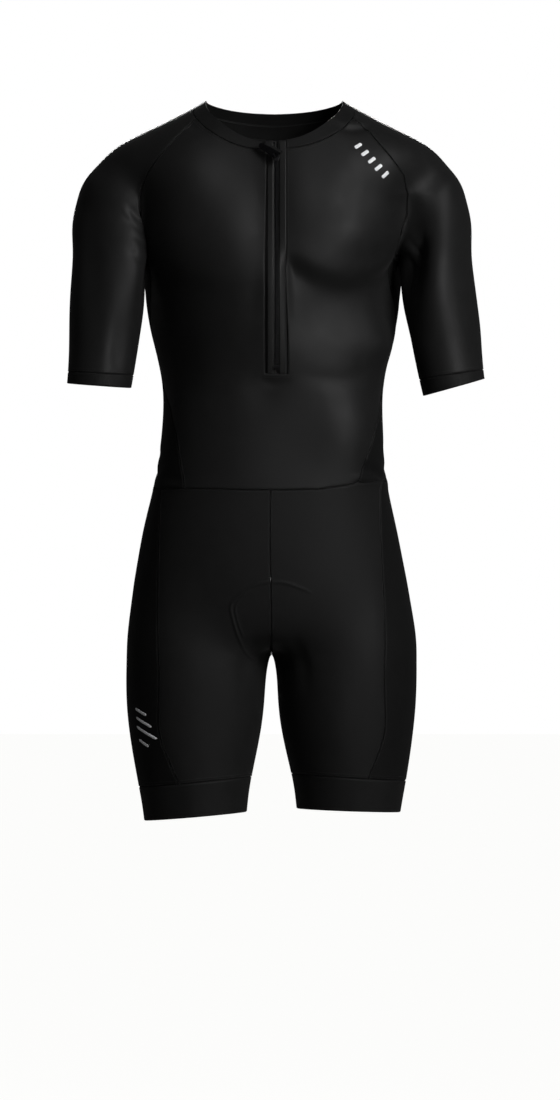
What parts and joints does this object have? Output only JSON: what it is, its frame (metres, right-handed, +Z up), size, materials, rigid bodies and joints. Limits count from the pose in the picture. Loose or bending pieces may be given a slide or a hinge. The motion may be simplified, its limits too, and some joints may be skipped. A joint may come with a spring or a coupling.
{
  "type": "triathlon suit",
  "caption": "Black one-piece triathlon suit in its worn, hollow form, with raglan short sleeves, fitted padded shorts and a front zip with a swinging pull.",
  "frame": {"origin": "middle of the neck opening on the shoulder line, where the garment is held when worn or hung", "axes": "+Z up the body, -Y out of the garment's front, +X towards the wearer's left"},
  "size_m": [0.5216, 0.2572, 0.9017],
  "materials": {
    "suit_knit": "satin",
    "side_knit": "matte",
    "shorts_knit": "matte",
    "band_knit": "satin",
    "pad_foam": "matte",
    "zip_tape": "matte",
    "zip_nylon": "satin",
    "zip_metal": "satin",
    "pull_rubber": "satin"
  },
  "bodies": {
    "suit": {"front_panel": "suit_knit", "back_panel": "suit_knit", "side_panel_left": "side_knit", "side_panel_right": "side_knit", "sleeve_left": "suit_knit", "sleeve_right": "suit_knit", "cuff_left": "band_knit", "cuff_right": "band_knit", "neck_band": "band_knit", "leg_front_left": "shorts_knit", "leg_front_right": "shorts_knit", "leg_back_left": "shorts_knit", "leg_back_right": "shorts_knit", "leg_side_left": "side_knit", "leg_side_right": "side_knit", "leg_hem_left": "band_knit", "leg_hem_right": "band_knit", "seat_pad": "pad_foam", "zip_tape_left": "zip_tape", "zip_tape_right": "zip_tape", "zip_chain": "zip_nylon", "zip_garage": "band_knit", "zip_stop": "zip_metal", "zip_slider": "zip_metal"},
    "pull": {"zip_pull": "pull_rubber"}
  },
  "joints": [
    {"name": "pull_swing", "type": "hinge", "parent": "suit", "child": "pull", "pos_m": [0.0022, -0.09851, -0.07418], "axis": [1, 0.0059, 0], "range_deg": [0, 165]}
  ]
}
